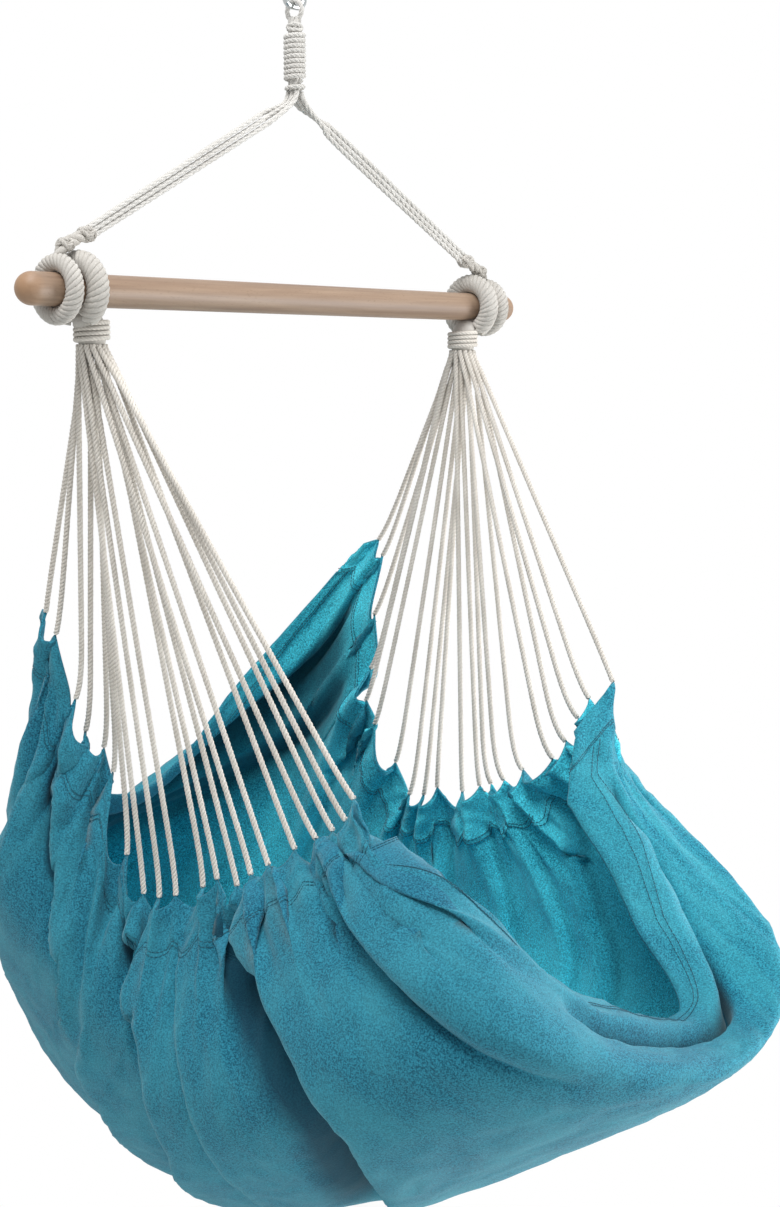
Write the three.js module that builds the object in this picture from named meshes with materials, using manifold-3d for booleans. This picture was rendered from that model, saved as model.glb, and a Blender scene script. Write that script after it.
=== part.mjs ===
// Hammock chair: a cotton seat cloth gathered on two fans of cord, hung by rope from a wooden
// spreader bar and one steel snap hook.
// Millimetres. +Z is up, the sitter looks along -Y and the bar lies along X.
// The origin is the top inside of the snap hook, where the chair is hung up.
import * as THREE from "three";
import { mergeVertices } from "three/addons/utils/BufferGeometryUtils.js";
import Module from "manifold-3d";

const wasm = await Module();
wasm.setup();

// Driving dimensions
const seatGap = 0.3; // between two pieces that touch
const jointGap = 0.5; // round the bar, in each rope ring
const barDrop = 430; // from the hang point down to the axis of the bar
const barLength = 900;
const barDiameter = 38;
const cutOverrun = 2; // how far a cutting solid stands out of what it cuts

const hookWire = 8;
const hookInnerLength = 64;
const hookInnerWidth = 26;
const hookBendRadius = 12; // of the wire's centre line
const gateDiameter = 7.4;
const gatePinDiameter = 2.4;
const gatePinRaise = 19; // of the pin above the centre line of the hook's bottom
const gateLength = 33; // from the pin to the free end
const noseGap = 0.6; // between the gate's free end and the nose
const tongueThickness = 2.6;
const gateSlotWidth = 3.4;
const gateSlotDepth = 7; // above the pin
const springWire = 0.8;
const springDiameter = 3; // over the wire
const springCurls = 5;
const springPitch = 2.4;

const ropeDiameter = 6.5;
const eyeHoleDiameter = 18;
const neckTop = -80; // heights of the whipped neck below the hang point
const neckCrossTop = -86;
const neckCrossBottom = -99;
const neckLashingTop = -164;
const neckBottom = -172;
const neckCoreDiameter = 17;
const neckCrossDiameter = 22;
const neckLashingDiameter = 27;
const whippingCord = 5.6;
const whippingPitch = 6.2;
const neckTurns = 9;

const strandSpacing = 7.4; // between the three strands of each side
const strandOffset = 4.6; // of a strand from the middle of the neck
const strandTurnShare = 0.25; // of a strand's run, over which the three turn from side by side
const knotInset = 100; // from the bar's end to the suspension knot
const knotRaise = 63; // of the knot above the axis of the bar
const knotDiameter = 24;
const knotHeight = 25;
const knotFootInset = 69; // from the bar's end to the foot of the knot, over the suspension ring
const knotFootRaise = 50; // of the foot above the axis of the bar
const knotFootDiameter = 22;
const hangerRingInset = 56; // from the bar's end to the middle of the suspension ring
const hangerRingRope = 21;
const knotStemDiameter = 16; // between the knot, its foot and the ring

const fanRingInset = 88;
const fanRingRope = 26;
const fanNeckShift = 18; // of the neck from its ring towards the middle of the bar
const fanNeckDiameter = 32;
const fanShoulder = 34; // depth below the bar's axis where the ring runs into its neck
const fanNeckDepth = 61; // depth below the bar's axis where the cords come out
const fanNeckTurns = 3;
const fanNeckRaise = 12; // of the neck's core inside the ring
const cordDiameter = 6.5;
const cordsPerSide = 20;
const innerCords = 6;
const innerCordRadius = 6.9; // of the inner ring of cords in the neck
const outerCordRadius = 15.4;
const cordRowCounts = [2, 2, 4, 4, 4, 2, 2]; // cords in each row across the neck, back to front
const cordSeat = 0.8; // between a cord's lower end and the edge of the cloth

const clothThickness = 3;
const casingThickness = 5; // the side hems are doubled over the cords' loops
const scallopDepth = 14;
const scallopShoulder = 5; // least drop of the edge beside each cord

// Lower ends of the cords, from the back of the seat to the front, as [x, y, z] from the bar's middle.
const leftCordEnds = [
  [-312, 127, -381],
  [-310, 112, -407],
  [-287, 105, -488],
  [-271, 106, -530],
  [-252, 94, -552],
  [-248, 82, -582],
  [-264, 42, -677],
  [-261, 16, -722],
  [-262, -12, -722],
  [-261, -40, -715],
  [-258, -83, -698],
  [-262, -111, -683],
  [-258, -140, -687],
  [-264, -168, -668],
  [-266, -198, -652],
  [-256, -230, -630],
  [-249, -256, -615],
  [-246, -279, -603],
  [-248, -300, -588],
  [-255, -318, -560],
];
const rightCordEnds = [
  [312, 128, -332],
  [308, 117, -354],
  [285, 113, -437],
  [270, 107, -513],
  [249, 98, -556],
  [247, 80, -588],
  [262, 54, -642],
  [260, 27, -685],
  [262, 2, -682],
  [261, -23, -668],
  [258, -70, -667],
  [262, -97, -656],
  [260, -118, -650],
  [260, -140, -642],
  [266, -167, -626],
  [250, -228, -600],
  [246, -251, -574],
  [248, -269, -541],
  [251, -284, -514],
  [258, -316, -490],
];
// Corners of the cloth past the last cord of each side, and the run of the three long lines that
// the cloth follows from its back hem to its front hem: down the left side, along the bottom and
// down the right side. All are [x, y, z] from the bar's middle.
const backLeftCorner = [-300, 146, -380];
const backRightCorner = [302, 148, -338];
const frontLeftCorner = [-266, -332, -562];
const frontRightCorner = [180, -310, -546];
const leftSideRun = [
  [-215, 235, -580],
  [-295, 258, -725],
  [-285, 160, -850],
  [-270, 45, -935],
  [-288, -95, -960],
  [-312, -246, -930],
  [-322, -420, -852],
  [-290, -545, -775],
  [-215, -485, -712],
];
const bottomRun = [
  [0, 300, -670],
  [0, 520, -840],
  [0, 505, -1035],
  [0, 370, -1150],
  [0, 95, -1200],
  [0, -150, -1150],
  [0, -400, -1030],
  [0, -640, -872],
  [0, -512, -855],
];
const rightSideRun = [
  [230, 290, -515],
  [300, 360, -690],
  [300, 330, -855],
  [290, 205, -965],
  [275, -20, -985],
  [270, -265, -915],
  [280, -450, -830],
  [300, -550, -795],
  [160, -505, -852],
];
// Main folds of the cloth at each side: where across the hem, how wide and how deep, from back to front.
const leftFoldShares = [0.2, 0.36, 0.6, 0.82];
const rightFoldShares = [0.16, 0.38, 0.56, 0.74];
const foldDepths = [26, 30, 34, 22];
const foldWidthShare = 0.035;
const foldPeakShare = 0.2; // how far down the side a fold is deepest
const acrossCells = 13;
const alongCells = 2 * cordsPerSide;

// Worked out from the driving dimensions
const barRadius = barDiameter / 2;
const hookRadius = hookWire / 2;
const hookHalfWidth = hookInnerWidth / 2 + hookRadius;
const hookTopLine = hookRadius;
const hookBottomLine = -hookInnerLength - hookRadius;
const gatePinZ = hookBottomLine + gatePinRaise;
const gateTopZ = gatePinZ + gateLength;
const ropeRadius = ropeDiameter / 2;
const fanNeckInset = fanRingInset + fanNeckShift;
const whippingRadius = whippingCord / 2;
const upAxis = new THREE.Vector3(0, 0, 1);
const barAxis = new THREE.Vector3(1, 0, 0);

const materials = {
  steel: new THREE.MeshStandardMaterial({ color: 0x9aa3a6, roughness: 0.35, metalness: 1 }),
  rope: new THREE.MeshStandardMaterial({ color: 0xd9d6cf, roughness: 0.9, metalness: 0 }),
  wood: new THREE.MeshStandardMaterial({ color: 0xd8b899, roughness: 0.55, metalness: 0 }),
  cotton: new THREE.MeshStandardMaterial({ color: 0x2f8ea2, roughness: 0.95, metalness: 0 }),
};

const chair = new THREE.Group();
chair.name = "hammock_chair";

function addPiece(name, geometry, material) {
  const mesh = new THREE.Mesh(geometry, material);
  mesh.name = name;
  chair.add(mesh);
  return mesh;
}

// A geometry as a solid for joining and cutting, and back again.
function toSolid(geometry) {
  const bare = geometry.clone();
  bare.deleteAttribute("normal");
  bare.deleteAttribute("uv");
  const merged = mergeVertices(bare, 1e-4);
  const mesh = new wasm.Mesh({
    numProp: 3,
    vertProperties: merged.attributes.position.array,
    triVerts: new Uint32Array(merged.index.array),
  });
  return new wasm.Manifold(mesh);
}

function toGeometry(solid) {
  const mesh = solid.getMesh();
  const geometry = new THREE.BufferGeometry();
  geometry.setAttribute("position", new THREE.BufferAttribute(mesh.vertProperties, 3));
  geometry.setIndex(new THREE.BufferAttribute(mesh.triVerts, 1));
  geometry.computeVertexNormals();
  return geometry;
}

// Round section for a tube.
function circleShape(radius, sides) {
  const shape = new THREE.Shape();
  for (let i = 0; i < sides; i++) {
    const angle = (2 * Math.PI * i) / sides;
    const x = radius * Math.cos(angle);
    const y = radius * Math.sin(angle);
    if (i === 0) shape.moveTo(x, y);
    else shape.lineTo(x, y);
  }
  shape.closePath();
  return shape;
}

function tube(path, radius, sides, steps) {
  return new THREE.ExtrudeGeometry(circleShape(radius, sides), { steps, extrudePath: path });
}

// Tube through given points. Each ring faces along the path and is turned to the reference direction,
// so that the section never twists.
function pointTube(points, radius, sides, reference) {
  const positions = [];
  const indices = [];
  const last = points.length - 1;
  points.forEach((point, i) => {
    const ahead = points[Math.min(i + 1, last)];
    const behind = points[Math.max(i - 1, 0)];
    const along = ahead.clone().sub(behind).normalize();
    const out = reference.clone().addScaledVector(along, -along.dot(reference)).normalize();
    const side = along.clone().cross(out);
    for (let s = 0; s < sides; s++) {
      const angle = (2 * Math.PI * s) / sides;
      const ring = point
        .clone()
        .addScaledVector(out, radius * Math.cos(angle))
        .addScaledVector(side, radius * Math.sin(angle));
      positions.push(ring.x, ring.y, ring.z);
    }
  });
  for (let i = 0; i < last; i++) {
    for (let s = 0; s < sides; s++) {
      const a = i * sides + s;
      const b = i * sides + ((s + 1) % sides);
      indices.push(a, b, a + sides, b, b + sides, a + sides);
    }
  }
  for (let s = 1; s < sides - 1; s++) {
    indices.push(0, s + 1, s);
    indices.push(last * sides, last * sides + s, last * sides + s + 1);
  }
  const geometry = new THREE.BufferGeometry();
  geometry.setAttribute("position", new THREE.Float32BufferAttribute(positions, 3));
  geometry.setIndex(indices);
  geometry.computeVertexNormals();
  return geometry;
}

// Points of a winding round a vertical drum, with a straight end as long as the cord is thick.
function windingPoints(centre, radius, turns, pitch, cord, stepsPerTurn) {
  const points = [];
  const steps = turns * stepsPerTurn;
  for (let i = 0; i <= steps; i++) {
    const angle = (2 * Math.PI * i) / stepsPerTurn;
    const drop = (pitch * i) / stepsPerTurn;
    points.push(
      new THREE.Vector3(
        centre.x + radius * Math.cos(angle),
        centre.y + radius * Math.sin(angle),
        centre.z - drop,
      ),
    );
  }
  const lead = points[0].clone().sub(points[1]).normalize().multiplyScalar(cord);
  const tail = points[steps].clone().sub(points[steps - 1]).normalize().multiplyScalar(cord);
  points.unshift(points[0].clone().add(lead));
  points.push(points[points.length - 1].clone().add(tail));
  return points;
}

// Least gap of a winding to itself, between points more than half a turn apart along it.
function leastSelfGap(points, cord, stepsPerTurn) {
  let least = Infinity;
  points.forEach((a, i) => {
    points.slice(i + Math.ceil(stepsPerTurn / 2)).forEach((b) => {
      least = Math.min(least, a.distanceTo(b) - cord);
    });
  });
  return least;
}

// Steel snap hook: one bent wire, open at the gate.
function hookBody() {
  const path = new THREE.CurvePath();
  const w = hookHalfWidth;
  const top = hookTopLine;
  const bottom = hookBottomLine;
  const bend = hookBendRadius;
  const corners = [
    new THREE.Vector3(w, 0, gatePinZ),
    new THREE.Vector3(w, 0, bottom),
    new THREE.Vector3(-w, 0, bottom),
    new THREE.Vector3(-w, 0, top),
    new THREE.Vector3(w, 0, top),
    new THREE.Vector3(w, 0, gateTopZ + noseGap),
  ];
  let from = corners[0];
  for (let i = 1; i < corners.length - 1; i++) {
    const corner = corners[i];
    const before = corner.clone().add(from.clone().sub(corner).setLength(bend));
    const after = corner.clone().add(corners[i + 1].clone().sub(corner).setLength(bend));
    path.add(new THREE.LineCurve3(from, before));
    path.add(new THREE.QuadraticBezierCurve3(before, corner, after));
    from = after;
  }
  path.add(new THREE.LineCurve3(from, corners[corners.length - 1]));
  const wire = toSolid(tube(path, hookRadius, 10, 44));

  // The lower end is cut back to a thin tongue that the gate's fork straddles.
  const shoulder = gatePinZ - hookRadius - seatGap;
  const cutSize = hookWire + cutOverrun;
  const cutHeight = gatePinZ - shoulder + cutOverrun;
  const cut = new THREE.BoxGeometry(cutSize, cutSize, cutHeight);
  cut.translate(w, 0, shoulder + cutHeight / 2);
  const neck = new THREE.BoxGeometry(hookWire - seatGap, tongueThickness, gatePinZ - shoulder + seatGap);
  neck.translate(w, 0, (gatePinZ + shoulder - seatGap) / 2);
  const end = new THREE.CylinderGeometry(hookRadius, hookRadius, tongueThickness, 20);
  end.translate(w, 0, gatePinZ);
  const bore = new THREE.CylinderGeometry(
    gatePinDiameter / 2 + seatGap,
    gatePinDiameter / 2 + seatGap,
    tongueThickness + cutOverrun,
    16,
  );
  bore.translate(w, 0, gatePinZ);
  const solid = wire.subtract(toSolid(cut)).add(toSolid(neck)).add(toSolid(end)).subtract(toSolid(bore));
  addPiece("snap_hook_body", toGeometry(solid), materials.steel);
}

// Gate: a round bar with a forked lower end on the pin, bored for its spring.
function hookGate() {
  const x = hookHalfWidth;
  const rod = new THREE.CylinderGeometry(gateDiameter / 2, gateDiameter / 2, gateLength, 20);
  rod.rotateX(Math.PI / 2);
  rod.translate(x, 0, gatePinZ + gateLength / 2);
  const fork = new THREE.CylinderGeometry(gateDiameter / 2, gateDiameter / 2, gateDiameter * 0.98, 24);
  fork.translate(x, 0, gatePinZ);
  const slotHeight = gateSlotDepth + gateDiameter;
  const slot = new THREE.BoxGeometry(gateDiameter + cutOverrun, gateSlotWidth, slotHeight);
  slot.translate(x, 0, gatePinZ + gateSlotDepth - slotHeight / 2);
  const pinBore = new THREE.CylinderGeometry(
    gatePinDiameter / 2 + seatGap,
    gatePinDiameter / 2 + seatGap,
    gateDiameter + cutOverrun,
    16,
  );
  pinBore.translate(x, 0, gatePinZ);
  const springRun = springTop() + seatGap - gatePinZ;
  const boreRadius = springDiameter / 2 + seatGap;
  const springBore = new THREE.CylinderGeometry(boreRadius, boreRadius, springRun, 16);
  springBore.rotateX(Math.PI / 2);
  springBore.translate(x, 0, gatePinZ + springRun / 2);
  const solid = toSolid(rod)
    .add(toSolid(fork))
    .subtract(toSolid(slot))
    .subtract(toSolid(pinBore))
    .subtract(toSolid(springBore));
  addPiece("snap_hook_gate", toGeometry(solid), materials.steel);
}

function hookPin() {
  const pin = new THREE.CylinderGeometry(gatePinDiameter / 2, gatePinDiameter / 2, gateDiameter, 16);
  pin.translate(hookHalfWidth, 0, gatePinZ);
  addPiece("snap_hook_gate_pin", pin, materials.steel);
}

function springTop() {
  return gatePinZ + hookRadius + 2 * seatGap + springWire + springCurls * springPitch;
}

// Gate spring: a small coil in the gate that pushes on the tongue.
function hookSpring() {
  const stepsPerCurl = 8;
  const top = new THREE.Vector3(hookHalfWidth, 0, springTop() - springWire / 2);
  const radius = (springDiameter - springWire) / 2;
  const points = [];
  for (let i = 0; i <= springCurls * stepsPerCurl; i++) {
    const angle = (2 * Math.PI * i) / stepsPerCurl;
    const drop = (springPitch * i) / stepsPerCurl;
    points.push(new THREE.Vector3(radius * Math.cos(angle), radius * Math.sin(angle), -drop).add(top));
  }
  console.log("gate spring, least gap to itself", leastSelfGap(points, springWire, stepsPerCurl).toFixed(2));
  addPiece("snap_hook_gate_spring", pointTube(points, springWire / 2, 5, upAxis), materials.steel);
}

// Rope eye on the hook, made in one with the neck that its whipping grips.
function ropeEye() {
  const holeRadius = eyeHoleDiameter / 2;
  const centreZ = -hookInnerLength + seatGap - holeRadius;
  const loop = new THREE.TorusGeometry(holeRadius + ropeRadius, ropeRadius, 8, 24);
  loop.rotateY(Math.PI / 2);
  loop.translate(0, 0, centreZ);
  const core = neckCoreDiameter / 2;
  const cross = neckCrossDiameter / 2;
  const lashing = neckLashingDiameter / 2;
  const edge = ropeRadius / 2;
  const profile = [
    [0, neckTop],
    [core, neckTop - edge],
    [cross, neckCrossTop],
    [cross, neckCrossBottom + edge],
    [core, neckCrossBottom],
    [core, neckLashingTop],
    [lashing - edge, neckLashingTop],
    [lashing, neckLashingTop - edge],
    [lashing, neckBottom + edge],
    [lashing - edge, neckBottom],
    [0, neckBottom],
  ].map(([r, z]) => new THREE.Vector2(r, z));
  const neck = new THREE.LatheGeometry(profile.reverse(), 20);
  neck.rotateX(Math.PI / 2);
  addPiece("rope_eye", toGeometry(toSolid(loop).add(toSolid(neck))), materials.rope);
}

function neckWhipping() {
  const stepsPerTurn = 14;
  const radius = neckCoreDiameter / 2 + seatGap + whippingRadius;
  const start = new THREE.Vector3(0, 0, neckCrossBottom - seatGap - 1.2 * whippingRadius);
  const points = windingPoints(start, radius, neckTurns, whippingPitch, whippingCord, stepsPerTurn);
  console.log("neck whipping, least gap to itself", leastSelfGap(points, whippingCord, stepsPerTurn).toFixed(2));
  addPiece("neck_whipping", pointTube(points, whippingRadius, 6, upAxis), materials.rope);
}

function knotCentre(side) {
  return new THREE.Vector3(side * (barLength / 2 - knotInset), 0, knotRaise - barDrop);
}

// Three strands a side run from the neck to the knot above the end of the bar. They leave the neck side
// by side and then turn to lie one above the other.
function suspensionStrands(side, word) {
  const knot = knotCentre(side);
  const start = new THREE.Vector3(side * strandOffset, 0, neckBottom - seatGap);
  const bend = start.clone().add(new THREE.Vector3(side * ropeRadius, 0, -2 * ropeDiameter));
  const along = knot.clone().sub(bend).normalize();
  const above = new THREE.Vector3(-side * along.z, 0, side * along.x);
  const knotSize = new THREE.Vector3(knotDiameter / 2, knotDiameter / 2, knotHeight / 2);
  for (let i = -1; i <= 1; i++) {
    const beside = new THREE.Vector3(0, i * strandSpacing, 0);
    const stacked = above.clone().multiplyScalar(i * strandSpacing);
    // The strand stops where the edge nearest the knot's middle meets the knot.
    const rim = stacked.clone().setLength(Math.max(stacked.length() - ropeRadius, 0)).divide(knotSize);
    const slope = along.clone().divide(knotSize);
    const lead = rim.dot(slope) / slope.lengthSq();
    const reach = lead + Math.sqrt(lead * lead - (rim.lengthSq() - 1) / slope.lengthSq());
    const end = knot.clone().addScaledVector(along, -(reach + seatGap));
    const down = new THREE.Vector3(0, 0, -ropeRadius);
    const turnEnd = bend.clone().lerp(end, strandTurnShare);
    const points = [
      start.clone().add(beside),
      start.clone().add(down).add(beside),
      bend.clone().addScaledVector(along, ropeDiameter).add(beside),
      bend.clone().lerp(turnEnd, 0.5).addScaledVector(beside.clone().add(stacked), Math.SQRT1_2),
      turnEnd.clone().add(stacked),
      end.clone().add(stacked),
    ];
    const path = new THREE.CatmullRomCurve3(points, false, "centripetal");
    addPiece(`suspension_strand_${word}_${i + 2}`, tube(path, ropeRadius, 8, 10), materials.rope);
  }
}

// Round lump of a knot.
function ropeLump(centre, width, height) {
  const lump = new THREE.SphereGeometry(1, 16, 10);
  lump.rotateX(Math.PI / 2);
  lump.scale(width / 2, width / 2, height / 2);
  lump.translate(centre.x, centre.y, centre.z);
  return lump;
}

// Bundle of rope between two lumps of a knot.
function ropeStem(from, to) {
  const along = to.clone().sub(from);
  const stem = new THREE.CylinderGeometry(knotStemDiameter / 2, knotStemDiameter / 2, along.length(), 16);
  const turned = new THREE.Quaternion().setFromUnitVectors(new THREE.Vector3(0, 1, 0), along.normalize());
  stem.applyQuaternion(turned);
  const middle = from.clone().lerp(to, 0.5);
  stem.translate(middle.x, middle.y, middle.z);
  return stem;
}

// Rope ring round the bar with the knot that ends the three strands. The knot has a foot over the ring.
function hangerRing(side, word) {
  const tubeRadius = hangerRingRope / 2;
  const ringRadius = barRadius + jointGap + tubeRadius;
  const ringX = side * (barLength / 2 - hangerRingInset);
  const ring = new THREE.TorusGeometry(ringRadius, tubeRadius, 10, 24);
  ring.rotateY(Math.PI / 2);
  ring.translate(ringX, 0, -barDrop);
  const ringTop = new THREE.Vector3(ringX, 0, ringRadius - barDrop);
  const foot = new THREE.Vector3(side * (barLength / 2 - knotFootInset), 0, knotFootRaise - barDrop);
  const centre = knotCentre(side);
  const solid = toSolid(ring)
    .add(toSolid(ropeLump(foot, knotFootDiameter, knotFootDiameter)))
    .add(toSolid(ropeLump(centre, knotDiameter, knotHeight)))
    .add(toSolid(ropeStem(ringTop, foot)))
    .add(toSolid(ropeStem(foot, centre)));
  addPiece(`hanger_ring_${word}`, toGeometry(solid), materials.rope);
}

// Spreader bar: a turned dowel with round ends.
function spreaderBar() {
  const arcSteps = 5;
  const profile = [];
  for (let i = 0; i <= arcSteps; i++) {
    const angle = (Math.PI / 2) * (i / arcSteps);
    const r = i === 0 ? 0 : barRadius * Math.sin(angle);
    profile.push(new THREE.Vector2(r, -barLength / 2 + barRadius * (1 - Math.cos(angle))));
  }
  const other = profile.map((point) => new THREE.Vector2(point.x, -point.y)).reverse();
  const bar = new THREE.LatheGeometry(profile.concat(other), 28);
  bar.rotateZ(-Math.PI / 2);
  bar.translate(0, 0, -barDrop);
  addPiece("spreader_bar", bar, materials.wood);
}

// Served rope ring at the top of a fan of cords, with the neck that holds the cords.
function fanRing(side, word) {
  const tubeRadius = fanRingRope / 2;
  const x = side * (barLength / 2 - fanRingInset);
  const ringRadius = barRadius + jointGap + tubeRadius;
  const ring = new THREE.TorusGeometry(ringRadius, tubeRadius, 10, 28);
  ring.rotateY(Math.PI / 2);
  ring.translate(x, 0, -barDrop);
  const coreTop = fanShoulder - fanNeckRaise;
  const coreHeight = fanNeckDepth - coreTop;
  const core = new THREE.CylinderGeometry(fanNeckDiameter / 2, fanNeckDiameter / 2, coreHeight, 20);
  core.rotateX(Math.PI / 2);
  core.translate(side * (barLength / 2 - fanNeckInset), 0, -barDrop - coreTop - coreHeight / 2);
  const below = 2 * ringRadius;
  const cut = new THREE.BoxGeometry(below, 2 * below, below);
  cut.translate(x, 0, -barDrop - fanShoulder - below / 2);
  const boreRadius = barRadius + jointGap;
  const bore = new THREE.CylinderGeometry(boreRadius, boreRadius, 3 * fanNeckDiameter, 28);
  bore.rotateZ(Math.PI / 2);
  bore.translate(x, 0, -barDrop);
  const solid = toSolid(ring).subtract(toSolid(cut)).add(toSolid(core)).subtract(toSolid(bore));
  addPiece(`fan_ring_${word}`, toGeometry(solid), materials.rope);
}

function fanWhipping(side, word) {
  const stepsPerTurn = 14;
  const radius = fanNeckDiameter / 2 + seatGap + whippingRadius;
  const start = new THREE.Vector3(
    side * (barLength / 2 - fanNeckInset),
    0,
    -barDrop - fanShoulder - seatGap - 1.2 * whippingRadius,
  );
  const points = windingPoints(start, radius, fanNeckTurns, whippingPitch, whippingCord, stepsPerTurn);
  if (side < 0) console.log("fan whipping, least gap", leastSelfGap(points, whippingCord, stepsPerTurn).toFixed(2));
  addPiece(`fan_whipping_${word}`, pointTube(points, whippingRadius, 6, upAxis), materials.rope);
}

// Places of the cords in the neck's lower face, from the back to the front.
function cordSlots(side) {
  const slots = [];
  const rings = [
    [innerCords, innerCordRadius],
    [cordsPerSide - innerCords, outerCordRadius],
  ];
  const centreX = side * (barLength / 2 - fanNeckInset);
  const z = -barDrop - fanNeckDepth - seatGap;
  rings.forEach(([count, radius]) => {
    for (let i = 0; i < count; i++) {
      const angle = (2 * Math.PI * (i + 0.5)) / count;
      slots.push(new THREE.Vector3(centreX + radius * Math.sin(angle), radius * Math.cos(angle), z));
    }
  });
  return slots.sort((a, b) => b.y - a.y);
}

// The slot of each cord: in each row the cords that lean inward most take the inner places.
function slotsInOrder(side, hems) {
  const slots = cordSlots(side);
  const inOrder = [];
  let first = 0;
  cordRowCounts.forEach((count) => {
    const places = slots.slice(first, first + count).sort((a, b) => side * (b.x - a.x));
    const lean = (i) => (side * (slots[first].x - hems[i].x)) / (slots[first].z - hems[i].z);
    const cords = places.map((place, i) => first + i).sort((a, b) => lean(a) - lean(b));
    cords.forEach((cord, i) => {
      inOrder[cord] = places[i];
    });
    first += count;
  });
  return inOrder;
}

function fromBar([x, y, z]) {
  return new THREE.Vector3(x, y, z - barDrop);
}

// Each cord leaves the neck downward, runs straight and meets the cloth's edge in line with the cloth.
function fanCords(side, word, rows) {
  const hemColumn = side < 0 ? 0 : acrossCells;
  const cordRows = rows.filter((row, i) => i % 2 === 1);
  const hems = cordRows.map((row) => row[hemColumn]);
  slotsInOrder(side, hems).forEach((slot, i) => {
    const row = cordRows[i];
    const hem = hems[i];
    const upward = hem.clone().sub(row[hemColumn - side]).normalize();
    const bottom = hem.clone().addScaledVector(upward, cordSeat);
    const straightTop = slot.clone().lerp(bottom, 0.08);
    const straightEnd = hem.clone().addScaledVector(upward, 3 * cordDiameter);
    const down = new THREE.Vector3(0, 0, -cordDiameter / 2);
    const points = [
      slot,
      slot.clone().add(down),
      straightTop,
      straightTop.clone().lerp(straightEnd, 0.5),
      straightEnd,
      bottom,
    ];
    const number = String(i + 1).padStart(2, "0");
    const cord = pointTube(points, cordDiameter / 2, 8, barAxis);
    addPiece(`fan_cord_${word}_${number}`, cord, materials.rope);
  });
}

// Smooth line through a list of points, as a function of the share of its points passed.
function smoothRun(points) {
  const curve = new THREE.CatmullRomCurve3(points, false, "catmullrom", 0.5);
  return (share) => curve.getPoint(share);
}

// Edge of the cloth: the cords' lower ends are its peaks, and it hangs slack between them.
function edgeLine(ends, backCorner, frontCorner) {
  const peaks = ends.map(fromBar);
  const back = fromBar(backCorner);
  const front = fromBar(frontCorner);
  return (step) => {
    if (step === 0) return back;
    if (step === alongCells) return front;
    const peak = (step - 1) / 2;
    if (Number.isInteger(peak)) return peaks[peak];
    const behind = peaks[Math.floor(peak)];
    const ahead = peaks[Math.ceil(peak)];
    const between = behind.clone().lerp(ahead, 0.5);
    between.z = Math.min(between.z - scallopDepth, behind.z - scallopShoulder, ahead.z - scallopShoulder);
    return between;
  };
}

// Depth of the folds at one side of the cloth.
function foldDepth(foldShares, alongShare) {
  return foldShares.reduce((sum, place, i) => {
    const away = (alongShare - place) / foldWidthShare;
    return sum + foldDepths[i] * Math.exp(-away * away);
  }, 0);
}

// Middle surface of the cloth as rows of points, from the back hem to the front hem.
function clothRows() {
  const leftEdge = edgeLine(leftCordEnds, backLeftCorner, frontLeftCorner);
  const rightEdge = edgeLine(rightCordEnds, backRightCorner, frontRightCorner);
  const leftSide = smoothRun(leftSideRun.map(fromBar));
  const bottom = smoothRun(bottomRun.map(fromBar));
  const rightSide = smoothRun(rightSideRun.map(fromBar));
  const rows = [];
  for (let step = 0; step <= alongCells; step++) {
    const share = step / alongCells;
    const row = smoothRun([
      leftEdge(step),
      leftSide(share),
      bottom(share),
      rightSide(share),
      rightEdge(step),
    ]);
    const points = [];
    for (let i = 0; i <= acrossCells; i++) {
      const across = i / acrossCells;
      const point = row(across);
      const down = Math.min(across, 1 - across);
      const shape = (down / foldPeakShare) * Math.exp(1 - down / foldPeakShare);
      const depth = foldDepth(across < 0.5 ? leftFoldShares : rightFoldShares, share) * shape;
      const inward = new THREE.Vector3(-point.x, 0, 0).normalize();
      if (down < 0.5) point.addScaledVector(inward, depth * (1 - 2 * down));
      points.push(point);
    }
    rows.push(points);
  }
  return rows;
}

// Facing of the cloth at each of its points: the mean of the facings of the cells that meet there.
function clothNormals(rows) {
  const normals = rows.map((row) => row.map(() => new THREE.Vector3()));
  for (let r = 0; r < rows.length - 1; r++) {
    for (let c = 0; c < acrossCells; c++) {
      const onward = rows[r + 1][c + 1].clone().sub(rows[r][c]);
      const backward = rows[r + 1][c].clone().sub(rows[r][c + 1]);
      const facing = onward.cross(backward).normalize();
      [normals[r][c], normals[r][c + 1], normals[r + 1][c], normals[r + 1][c + 1]].forEach((normal) =>
        normal.add(facing),
      );
    }
  }
  return normals.map((row) => row.map((normal) => normal.normalize()));
}

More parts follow.
